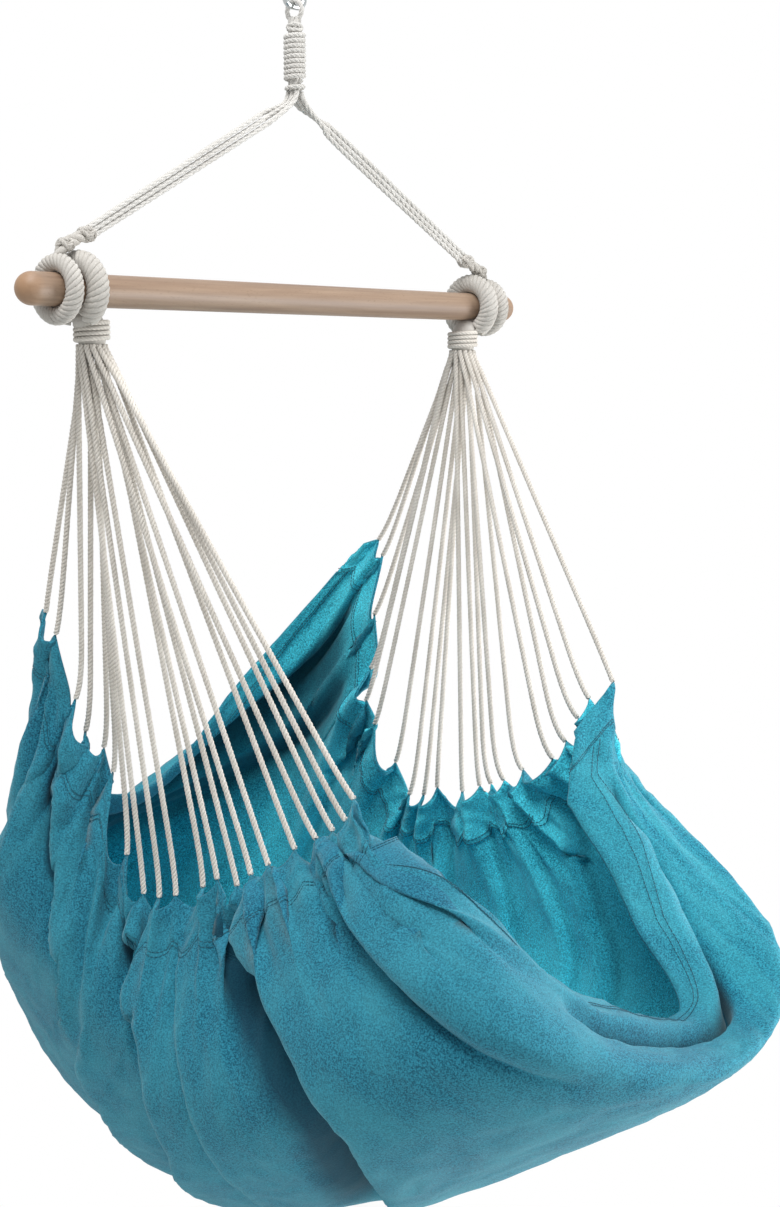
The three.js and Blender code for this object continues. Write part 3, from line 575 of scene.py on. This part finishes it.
# Grain lines lie 2 to 3 mm apart and run for decimetres, and the small dark flecks are 3 mm long.
drawn = add(tree, "ShaderNodeMapping", {"Vector": place, "Scale": (0.03, 1, 1)})
fine_grain = {"Vector": drawn, "Scale": 1 / (5 * MM), "Detail": 4.0, "Distortion": 0.4}
lines = add(tree, "ShaderNodeTexNoise", fine_grain)
broad = add(tree, "ShaderNodeTexNoise", {"Vector": drawn, "Scale": 1 / (22 * MM), "Detail": 2.0})
fleck_place = add(tree, "ShaderNodeMapping", {"Vector": place, "Scale": (0.25, 1, 1)})
flecks = add(tree, "ShaderNodeTexNoise", {"Vector": fleck_place, "Scale": 1 / (1.6 * MM), "Detail": 1.0})
grain = add(tree, "ShaderNodeMath", {0: lines, 1: broad}, operation="ADD")
grain = add(tree, "ShaderNodeMapRange", {"Value": grain, "From Min": 0.75, "From Max": 1.25})
sawn = {"Factor": grain, 6: linear("#836b58"), 7: linear("#a08873")}
tone = add(tree, "ShaderNodeMix", sawn, data_type="RGBA")
speck = add(tree, "ShaderNodeMapRange", {"Value": flecks, "From Min": 0.62, "From Max": 0.72, "To Max": 0.5})
specked = add(tree, "ShaderNodeMix", {"Factor": speck, 6: tone, 7: linear("#7f6751")}, data_type="RGBA")
parts = add(tree, "ShaderNodeSeparateXYZ", {0: place})
reach = add(tree, "ShaderNodeMath", {0: parts}, operation="ABSOLUTE")
near_end = {"Value": reach, "From Min": 0.425, "From Max": 0.448, "To Max": 0.8}
end_share = add(tree, "ShaderNodeMapRange", near_end)
ended = add(tree, "ShaderNodeMix", {"Factor": end_share, 6: specked, 7: linear("#a07c5c")}, data_type="RGBA")
sanding = add(tree, "ShaderNodeBump", {"Height": lines, "Strength": 0.25, "Distance": 0.2 * MM})
gloss = add(tree, "ShaderNodeMapRange", {"Value": lines, "To Min": 0.42, "To Max": 0.56})
plug(tree, shader, {"Base Color": ended, "Normal": sanding, "Roughness": gloss, "IOR": 1.5})
bar_points = [(x, 0, 0) for x, radius in bar_run]
bar_radii = [radius for x, radius in bar_run]
bar_mesh = body_mesh("turned_bar", bar_points, bar_radii, 64, (0, 0, 1), beech)
put("turned_bar", bar_mesh, "bar", "bar_wood", "spreader_bar")

# Snap hook. Bent from 8 mm steel wire, with a gate that its spring shuts, and zinc plated.
# The plating is bright but not mirror-like, with faint drawing lines and dull spots.
zinc, tree, shader = new_material("zinc plated steel")
place = add(tree, "ShaderNodeTexCoord").outputs["Object"]
bloom = add(tree, "ShaderNodeTexNoise", {"Vector": place, "Scale": 1 / (6 * MM), "Detail": 3.0})
scuffs = add(tree, "ShaderNodeTexNoise", {"Vector": place, "Scale": 1 / (0.8 * MM), "Detail": 2.0})
clouded = {"Factor": bloom, 6: linear("#a5aaac"), 7: linear("#c9cccb")}
plate = add(tree, "ShaderNodeMix", clouded, data_type="RGBA")
shine = add(tree, "ShaderNodeMapRange", {"Value": bloom, "To Min": 0.2, "To Max": 0.42})
dent = add(tree, "ShaderNodeBump", {"Height": scuffs, "Strength": 0.15, "Distance": 0.1 * MM})
plug(tree, shader, {"Base Color": plate, "Roughness": shine, "Normal": dent, "Metallic": 1})
for name in ("body", "gate", "gate_pin", "gate_spring"):
    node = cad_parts["snap_hook_" + name]
    node.data.materials.clear()
    node.data.materials.append(zinc)

# Seat cloth. One rectangle of woven cotton, its two sides turned over 60 mm into hems that the cords
# gather, its back and front turned over about 30 mm. Each hem is held by a double row of stitches.
cloth_thickness = 3.4
single_share = 0.45  # how thick the single cloth is beside the doubled hems
cloth_run = 1.6  # metres from back to front, about
stitch_marks = (54, 60)  # from the side edge
along_cells = 280
hem_columns = 22
hem_step = 3
hem_cells = 5  # of the back and the front hem
middle_columns = 116
along = np.linspace(0, 1, along_cells + 1)
fine = smooth_run(cloth_lines(along), np.linspace(0, 1, 260))
steps = np.linalg.norm(np.diff(fine, axis=0), axis=-1)
passed = np.vstack([np.zeros(len(along)), np.cumsum(steps, axis=0)])
hem_marks = np.arange(hem_columns + 1) * hem_step
columns = 2 * hem_columns + middle_columns + 1
cloth = np.zeros((along_cells + 1, columns, 3))
spread = np.zeros((along_cells + 1, columns))
for r in range(along_cells + 1):
    total = passed[-1, r]
    middle = np.linspace(hem_marks[-1], total - hem_marks[-1], middle_columns + 1)[1:-1]
    marks = np.concatenate([hem_marks, middle, total - hem_marks[::-1]])
    spread[r] = marks
    for k in range(3):
        cloth[r, :, k] = np.interp(marks, passed[:, r], fine[:, r, k])
row_length = spread[:, -1:]
across = spread / row_length
down_right = row_length - spread
down = np.minimum(spread, down_right)
ahead = np.repeat(along[:, None], columns, 1)


def facings(points):
    """Outward direction of the cloth at each point, and the direction from back to front."""
    over = np.gradient(points, axis=1)
    onward = np.gradient(points, axis=0)
    out = np.cross(over, onward)
    out /= np.linalg.norm(out, axis=-1, keepdims=True) + 1e-9
    onward /= np.linalg.norm(onward, axis=-1, keepdims=True) + 1e-9
    return out, onward


def ramp(distance, width):
    """0 below no distance, 1 from the width on, and straight between."""
    return np.clip(distance / width, 0, 1)


row_steps = np.linalg.norm(np.diff(cloth, axis=0), axis=-1)
from_back = np.vstack([np.zeros(columns), np.cumsum(row_steps, axis=0)])


def past(line_shares):
    """Distance in mm along the cloth, forward of a line that lies at these shares from back to front."""
    at = np.clip(line_shares, 0, 1) * along_cells
    low = np.minimum(at.astype(int), along_cells - 1)
    part = at - low
    every = np.arange(columns)[None, :]
    return from_back - from_back[low, every] * (1 - part) - from_back[low + 1, every] * part


# The front of the right side is folded inward, so that its outer face shows as a broad strip.
turned_in = 60 * ramp(ahead - 0.7, 0.3) ** 2
turned_in *= ramp(across - 0.52, 0.2) ** 1.2 * ramp(1 - across, 0.1)
cloth += turned_in[..., None] * np.array([-0.8, 0.55, 0.1])
facing, onward = facings(cloth)

# Pleats: sharp edges that lie over the cloth behind them. Each has its line as shares across and
# along, its height over and its depth before the edge in mm, and how far it goes on to the front.
pleat_edge = 7
pleat_slide = 0.3  # how far a pleat's edge leans back, as a share of its height
tallest_pleat = 40  # for how dark it is underneath
left_pleats = [
    ([0, 0.04, 0.12, 0.3], [0.07, 0.085, 0.13, 0.2], 16, 18, 70),
    ([0, 0.025, 0.07, 0.135, 0.185, 0.275, 0.5], [0.13, 0.138, 0.19, 0.255, 0.323, 0.4, 0.46], 30, 26, 150),
    ([0, 0.06, 0.115, 0.24, 0.5], [0.34, 0.388, 0.438, 0.478, 0.5], 32, 38, 130),
    ([0, 0.055, 0.14, 0.225, 0.385, 0.5], [0.61, 0.655, 0.69, 0.7, 0.67, 0.63], 26, 112, 260),
    ([0, 0.1, 0.3, 0.5], [0.25, 0.3, 0.38, 0.42], 6, 8, 50),
    ([0, 0.1, 0.3, 0.5], [0.47, 0.5, 0.55, 0.56], 8, 10, 50),
]
right_pleats = [
    ([0, 0.1, 0.3, 0.5], [0.2, 0.22, 0.3, 0.36], 18, 16, 70),
    ([0, 0.1, 0.3, 0.5], [0.36, 0.38, 0.42, 0.45], 16, 18, 60),
    ([0, 0.065, 0.3, 0.5], [0.472, 0.478, 0.5, 0.5], 24, 18, 50),
    ([0, 0.1, 0.3, 0.5], [0.56, 0.56, 0.55, 0.54], 12, 12, 40),
    ([0, 0.1, 0.3, 0.5], [0.64, 0.62, 0.6, 0.59], 16, 16, 50),
    ([0, 0.065, 0.11, 0.155, 0.235, 0.5], [0.735, 0.723, 0.67, 0.647, 0.645, 0.63], 30, 16, 130),
]
lift = np.zeros_like(across)
slide = np.zeros_like(across)
edge_shadow_and_highlight = np.zeros_like(across)
for pleats, share_down in ((left_pleats, across), (right_pleats, 1 - across)):
    envelope = ramp(share_down, 0.045) * ramp(0.5 - share_down, 0.22) ** 0.8
    for line_down, line_along, height, depth, run_out in pleats:
        away = past(np.interp(share_down, line_down, line_along))
        front = height * np.exp(-np.clip(away, 0, None) / run_out)
        back = -depth * np.exp(np.clip(away, None, 0) / (22 + 0.3 * depth))
        edge = 0.5 + 0.5 * np.tanh(away / pleat_edge)
        lift += envelope * (edge * front + (1 - edge) * back)
        slide -= envelope * pleat_slide * height * hump(away - 5, 24)
        # Painted shadow under each pleat's edge, darker for taller pleats, and a thin painted highlight along
        # the edge itself.
        shade_width = 4 + 0.42 * depth
        edge_shadow_and_highlight += envelope * height / tallest_pleat * hump(away + 0.5 * depth, shade_width)
        edge_shadow_and_highlight -= envelope * 0.4 * hump(away - 5, 8)

# Front roll: the front edge is rolled outward over the left half, and the roll's lower side lies on
# the cloth in a crumpled line. Further right the edge's hem is a roll of its own, over a dark gap.
roll_height = 34
roll_sink = 14
edge_roll_height = 26
edge_gap_depth = 40
roll_line = np.interp(across, [0, 0.055, 0.115, 0.195, 0.3], [0.815, 0.823, 0.84, 0.858, 0.87])
away = past(roll_line)
strength = ramp(across, 0.1) * ramp(0.34 - across, 0.16)
rolled = roll_height * ramp(away, 16) ** 0.7 * np.exp(-np.clip(away, 0, None) / 400)
sunk = roll_sink * np.exp(-np.abs(away + 6) / 16) * (away < 8)
lift += strength * (np.where(away > 0, rolled, 0) - sunk)
slide -= strength * roll_sink * hump(away - 8, 20)
to_edge = from_back[-1] - from_back
strength = ramp(across - 0.27, 0.12) * ramp(0.9 - across, 0.1)
gap_at = 62 + 10 * np.sin(9 * across + 0.6)
lift += strength * edge_roll_height / (1 + np.exp((to_edge - gap_at + 12) / 4))
lift -= strength * edge_gap_depth * hump(to_edge - gap_at, 10)
# Painted shadow in the gap under the edge's roll.
edge_shadow_and_highlight += strength * hump(to_edge - gap_at, 9)
slide -= strength * 16 * hump(to_edge - gap_at + 18, 12)
crest_at = 20 + 60 * across
strength = ramp(across, 0.05) * ramp(0.4 - across, 0.1)
lift += strength * 9 * hump(to_edge - crest_at, 13)

# Back: the back edge hangs slack, so the cloth falls in long folds that lie along the edge.
strength = ramp(across - 0.1, 0.15) * ramp(0.97 - across, 0.08)
for fold_at, width, depth in ((45, 24, -16), (92, 12, 24), (140, 22, -14), (205, 16, 12)):
    wander = fold_at + 22 * np.sin(7 * across + fold_at)
    lift += strength * depth * hump(from_back - wander, width)

# Lobes: the cloth stands out or in between one cord and the next, and the creases run on downward.
lobe_sizes = [12, -9, 17, 12, -8, 20, 13, -12, 18, -10, 15, 10, -12, 20, 12, -9, 16, -8, 14]
for share_down, reach_down in ((across, spread), (1 - across, down_right)):
    near = np.where(share_down < 0.5, 1, 0)
    for i, size in enumerate(lobe_sizes):
        if share_down is not across:
            # The right side takes the same sizes in another order, and turned over.
            size = -lobe_sizes[(i * 7 + 3) % len(lobe_sizes)]
        begin, end = cord_places[i + 1], cord_places[i + 2]
        share = ramp(ahead - begin, end - begin)
        bulge = np.sin(math.pi * share) ** 1.2
        lift += near * size * bulge * np.exp(-reach_down / 60)
        lift += near * 0.5 * size * np.sin(2 * math.pi * share) * hump(reach_down - 50, 60)

# Painted light and shade: the cloth is drawn lighter where it stands out and along pleat edges, and darker
# in its hollows, under pleat edges and in the front gap. Inside, the stretch below the back hem gets more
# painted shade; on the outside face the same stretch is drawn lighter.
fold_light_and_shade = 0.45 * np.tanh(lift / 32) - edge_shadow_and_highlight
painted_back_shade = ramp(from_back - 52 - 8 * np.sin(5 * across), 14)
painted_back_shade *= ramp(300 - from_back, 110)
fold_light_and_shade += painted_back_shade * ramp(across - 0.1, 0.2) * ramp(0.97 - across, 0.06)

# Stitch lines draw the cloth in a little, and the double cloth of the hems puckers between them.
stitch_sink = 2.0
for mark in stitch_marks:
    lift -= stitch_sink * hump(down - mark, 3)

# Creases: long soft ones down the sides and short crossed ones everywhere, as in washed cotton. The
# factors of x and y are the waves in a metre.
crease = np.zeros_like(across)
for r in range(along_cells + 1):
    for c in range(columns):
        x = spread[r, c] * MM
        y = ahead[r, c] * cloth_run
        side_pull = max(0.0, 1 - down[r, c] / 420)
        warp = noise.noise((x * 5, y * 5, 3.1))
        long_ones = 1 - abs(noise.noise((x * 4 + 0.3 * warp, y * 24 + 1.5 * warp, 1.7))) * 2
        short_ones = 1 - abs(noise.noise((x * 22 + 2 * warp, y * 22 - 2 * warp, 5.2))) * 2
        cross_ones = noise.noise((x * 55, y * 55, 8.4))
        soft = noise.noise((x * 7, y * 7, 11.9))
        crumple = 1 + 2 * math.exp(-down[r, c] / 70)
        small = crumple * (1.7 * short_ones + cross_ones)
        crease[r, c] = 3.0 * side_pull * long_ones + small + 3.0 * soft
lift += crease * ramp(down, 12)

cloth += facing * lift[..., None] + onward * slide[..., None]

cloth_mesh = bpy.data.meshes.new("woven_seat")
corners = [r * columns + c for r in range(along_cells) for c in range(columns - 1)]
cloth_faces = [(a, a + 1, a + 1 + columns, a + columns) for a in corners]
cloth_mesh.from_pydata(to_metres(cloth.reshape(-1, 3)), [], cloth_faces)
uv_layer = cloth_mesh.uv_layers.new(name="weave")
loop_verts = np.empty(len(cloth_mesh.loops), dtype=int)
cloth_mesh.loops.foreach_get("vertex_index", loop_verts)
weave_place = np.stack([spread.ravel() * MM, ahead.ravel() * cloth_run], -1)
uv_layer.data.foreach_set("uv", weave_place[loop_verts].ravel())
fold_layer = cloth_mesh.attributes.new("fold", "FLOAT", "POINT")
fold_layer.data.foreach_set("value", fold_light_and_shade.ravel())
cloth_mesh.shade_smooth()


def cotton_cloth(name, low, high, fade_and_highlight, painted_light_gain, face, full_shade_depth):
    """Dyed plain-weave cotton, washed: uneven in colour, matt, with a soft bloom on its folds.

    painted_light_gain is painted light: how much brighter the right half is drawn, for light coming through
    the cloth.
    face is 1 outside and -1 inside, and what is painted as standing out on one side is painted sunk on the
    other.
    full_shade_depth is how deep a fold is, as a share, where its painted shade is darkest.
    """
    material, tree, shader = new_material(name)
    place = add(tree, "ShaderNodeUVMap", uv_map="weave")
    # The threads are 0.5 mm apart. They are drawn three times as coarse, so that they show.
    threads = add(tree, "ShaderNodeTexChecker", {"Vector": place, "Scale": 1 / (1.5 * MM)})
    # The thick places of the threads are as coarse. They keep their size where the hems gather the cloth.
    plain_place = add(tree, "ShaderNodeTexCoord").outputs["Object"]
    uneven = []
    for stretch in ((1, 1, 0.6), (0.6, 0.6, 1)):
        drawn = add(tree, "ShaderNodeMapping", {"Vector": plain_place, "Scale": stretch})
        noise_size = {"Vector": drawn, "Scale": 1 / (1.5 * MM), "Detail": 1.0}
        uneven.append(add(tree, "ShaderNodeTexNoise", noise_size))
    patches = add(tree, "ShaderNodeTexNoise", {"Vector": place, "Scale": 1 / (90 * MM), "Detail": 3.0})
    heather = add(tree, "ShaderNodeMath", {0: uneven[0], 1: uneven[1]}, operation="ADD")
    heather = add(tree, "ShaderNodeMapRange", {"Value": heather, "From Min": 0.76, "From Max": 1.24})
    dyed = add(tree, "ShaderNodeMix", {"Factor": heather, 6: linear(low), 7: linear(high)}, data_type="RGBA")
    wear = {"Value": patches, "From Min": 0.4, "From Max": 0.75, "To Max": 0.45}
    worn_share = add(tree, "ShaderNodeMapRange", wear)
    worn = add(tree, "ShaderNodeMix", {"Factor": worn_share, 6: dyed, 7: linear(fade_and_highlight)}, data_type="RGBA")
    # Painted light: the right half's colour is multiplied brighter, for the light that comes through the
    # cloth there.
    sideways = add(tree, "ShaderNodeSeparateXYZ", {0: place})
    to_right = {"Value": sideways, "From Min": 0.5, "From Max": 0.85}
    right_half = add(tree, "ShaderNodeMapRange", to_right, interpolation_type="SMOOTHSTEP")
    brighter = {"Factor": right_half, 6: worn, 7: painted_light_gain}
    right_painted_light = add(tree, "ShaderNodeMix", brighter, data_type="RGBA", blend_type="MULTIPLY", clamp_factor=False)
    fold = add(tree, "ShaderNodeAttribute", attribute_name="fold").outputs["Fac"]
    # Painted highlight: the colour lightens where the cloth is drawn standing out and along pleat edges.
    highlight_share = add(tree, "ShaderNodeMapRange", {"Value": fold, "From Max": face, "To Max": 0.35})
    highlighted = add(tree, "ShaderNodeMix", {"Factor": highlight_share, 6: right_painted_light, 7: linear(fade_and_highlight)}, data_type="RGBA")
    # Painted shade: the colour darkens towards #0f3a4d in hollows, under pleat edges, in the front gap and,
    # inside, below the back hem.
    depth = {"Value": fold, "From Min": -0.1 * face, "From Max": -full_shade_depth * face, "To Max": 0.85}
    fold_shade_share = add(tree, "ShaderNodeMapRange", depth)
    dark = {"Factor": fold_shade_share, 6: highlighted, 7: linear("#0f3a4d")}
    sunk = add(tree, "ShaderNodeMix", dark, data_type="RGBA")
    crumpled = {"Vector": place, "Scale": 1 / (30 * MM), "Detail": 1.5, "Distortion": 0.8}
    wrinkles = add(tree, "ShaderNodeTexNoise", crumpled)
    weave = {"Height": threads.outputs[1], "Strength": 0.25, "Distance": 0.15 * MM}
    normal = add(tree, "ShaderNodeBump", weave)
    for height, strength, distance in ((heather, 0.3, 0.4 * MM), (wrinkles, 0.25, 3 * MM)):
        relief = {"Height": height, "Strength": strength, "Distance": distance, "Normal": normal}
        normal = add(tree, "ShaderNodeBump", relief)
    plug(tree, shader, {"Base Color": sunk, "Normal": normal, "Roughness": 0.9, "IOR": 1.5})
    bloom = {"Sheen Weight": 0.25, "Sheen Roughness": 0.5, "Sheen Tint": linear("#bfe3ea")}
    plug(tree, shader, bloom | {"Specular IOR Level": 0.2})
    return material


# The fourth value of each dye is the painted light of the right half.
outer_dye = ("#0a4a61", "#2f8ca6", "#48a2b2", (1.2, 1.38, 1.3, 1), 1, 0.6)
inner_dye = ("#0e4f69", "#3597b3", "#459fb9", (2.4, 2.72, 2.25, 1), -1, 1)
for name, dye in (("teal woven cotton, outside", outer_dye), ("teal woven cotton, inside", inner_dye)):
    cloth_mesh.materials.append(cotton_cloth(name, *dye))
seat = put("woven_seat", cloth_mesh, "seat", "seat_cotton", "seat_cloth")
doubled = seat.vertex_groups.new(name="doubled")
row_index = np.arange(along_cells + 1)[:, None]
in_hem = (down <= stitch_marks[1] + 1) | (row_index < hem_cells) | (row_index > along_cells - hem_cells)
doubled.add(np.nonzero(in_hem.ravel())[0].tolist(), 1.0, "REPLACE")
wall = seat.modifiers.new("cloth thickness", "SOLIDIFY")
wall.thickness = cloth_thickness * MM
wall.offset = 0
wall.vertex_group = "doubled"
wall.thickness_vertex_group = single_share
wall.material_offset = 1
wall.use_rim = True

# Hem stitches. Teal cotton thread, two rows along each side hem and one pair along the back and the
# front, on both faces of the cloth. The stitches are nearly 4 mm long, and thick enough to show.
stitch_length = 3.8
stitch_spacing = 5.2
stitch_thickness = 1.1
stitch_lift = 2.0  # from the middle of the cloth
stitch_tree, stitch_inputs = new_tree(
    "stitch rows", "Rows", "Stitches",
    {"Spacing": "Float", "Length": "Float", "Thickness": "Float", "Material": "Material"},
)
tree = stitch_tree
given = add(tree, "NodeGroupInput").outputs
line = add(tree, "GeometryNodeMeshToCurve", {"Mesh": given["Rows"]})
spots = add(tree, "GeometryNodeResampleCurve", {"Curve": line, "Length": given["Spacing"]}, mode="LENGTH")
half = add(tree, "ShaderNodeMath", {0: given["Thickness"], 1: 0.5}, operation="MULTIPLY")
thread = add(tree, "GeometryNodeMeshCylinder", {"Vertices": 6, "Radius": half, "Depth": given["Length"]})
tangent = add(tree, "GeometryNodeInputTangent")
turned = add(tree, "FunctionNodeAlignRotationToVector", {"Vector": tangent}, axis="Z")
laid_on = {"Points": spots, "Instance": thread, "Rotation": turned}
placed = add(tree, "GeometryNodeInstanceOnPoints", laid_on)
end_tree(tree, placed, given["Material"])

thread_cotton, tree, shader = new_material("teal sewing thread")
place = add(tree, "ShaderNodeTexCoord").outputs["Object"]
twist = add(tree, "ShaderNodeTexNoise", {"Vector": place, "Scale": 1 / (1.2 * MM), "Detail": 1.0})
twisted = {"Factor": twist, 6: linear("#0f4556"), 7: linear("#1b6275")}
hue = add(tree, "ShaderNodeMix", twisted, data_type="RGBA")
plug(tree, shader, {"Base Color": hue, "Roughness": 0.7, "IOR": 1.5})

facing, onward = facings(cloth)
stitch_rows = []
for face in (-1, 1):
    lifted = cloth + facing * face * stitch_lift
    for c in [mark // hem_step for mark in stitch_marks]:
        stitch_rows += [lifted[:, c], lifted[:, columns - 1 - c]]
    for r in (hem_cells, hem_cells - 1, along_cells - hem_cells, along_cells - hem_cells + 1):
        stitch_rows.append(lifted[r, hem_columns:-hem_columns])
values = {
    "Spacing": stitch_spacing * MM, "Length": stitch_length * MM, "Thickness": stitch_thickness * MM,
    "Material": thread_cotton,
}
stitches = run_tree("hem_stitches", stitch_tree, stitch_inputs, stitch_rows, values)
put("hem_stitches", stitches, "seat", "seat_cotton")

# Floor, backdrop and light. A plain pale floor under the hanging chair, large soft lamps above and
# to the sides, and white all round for what the camera sees.
floor_mesh = bpy.data.meshes.new("floor")
floor_radius = 9
floor_height = -1.98
floor_sides = 64
turns = [2 * math.pi * i / floor_sides for i in range(floor_sides)]
floor_rim = [(floor_radius * math.cos(a), floor_radius * math.sin(a), floor_height) for a in turns]
floor_mesh.from_pydata(floor_rim, [], [tuple(range(floor_sides))])
floor = in_scene("floor", floor_mesh)


def seen_directly(tree):
    """1 for the rays that show the studio as it looks, and 0 for those that bring its light."""
    rays = add(tree, "ShaderNodeLightPath").outputs
    seen = rays["Is Camera Ray"]
    for other in ("Is Glossy Ray", "Is Transmission Ray"):
        seen = add(tree, "ShaderNodeMath", {0: seen, 1: rays[other]}, operation="MAXIMUM")
    return seen


paper, tree, shader = new_material("matt white paper")
plug(tree, shader, {"Base Color": linear("#ededeb"), "Roughness": 0.95})
place = add(tree, "ShaderNodeTexCoord").outputs["Object"]
level_place = add(tree, "ShaderNodeMapping", {"Vector": place, "Scale": (1, 1, 0)})
distance = add(tree, "ShaderNodeVectorMath", {0: level_place}, operation="LENGTH")
fading = add(tree, "ShaderNodeMapRange", {"Value": distance, "From Min": 0.5, "From Max": 0.85})
white_share = add(tree, "ShaderNodeMath", {0: seen_directly(tree), 1: fading}, operation="MULTIPLY")
white = add(tree, "ShaderNodeEmission")
mixed = add(tree, "ShaderNodeMixShader", {0: white_share, 1: shader, 2: white})
plug(tree, tree.nodes["Material Output"], {"Surface": mixed})
floor_mesh.materials.append(paper)

world = bpy.data.worlds.new("studio")
bpy.context.scene.world = world
world.use_nodes = True
tree = world.node_tree
tree.nodes.clear()
soft = add(tree, "ShaderNodeBackground", {"Color": linear("#f4f6f8"), "Strength": 0.48})
bright = add(tree, "ShaderNodeBackground", {"Color": linear("#ffffff")})
mixed = add(tree, "ShaderNodeMixShader", {0: seen_directly(tree), 1: soft, 2: bright})
add(tree, "ShaderNodeOutputWorld", {0: mixed})

lamp_aim = Vector((0, -0.1, -1.0))
for name, spot, size, power in (
    ("key lamp", (2.0, -2.3, -1.3), 1.6, 80),
    ("side lamp", (-1.8, -1.0, 2.3), 1.6, 98),
    ("top lamp", (-0.1, -0.3, 3.0), 1.8, 45),
):
    lamp_data = bpy.data.lights.new(name, "AREA")
    lamp_data.size = size
    lamp_data.energy = power
    lamp = in_scene(name, lamp_data)
    lamp.location = spot
    lamp.rotation_euler = (lamp_aim - Vector(spot)).to_track_quat("-Z", "Y").to_euler()

bpy.context.scene.view_settings.view_transform = "Standard"
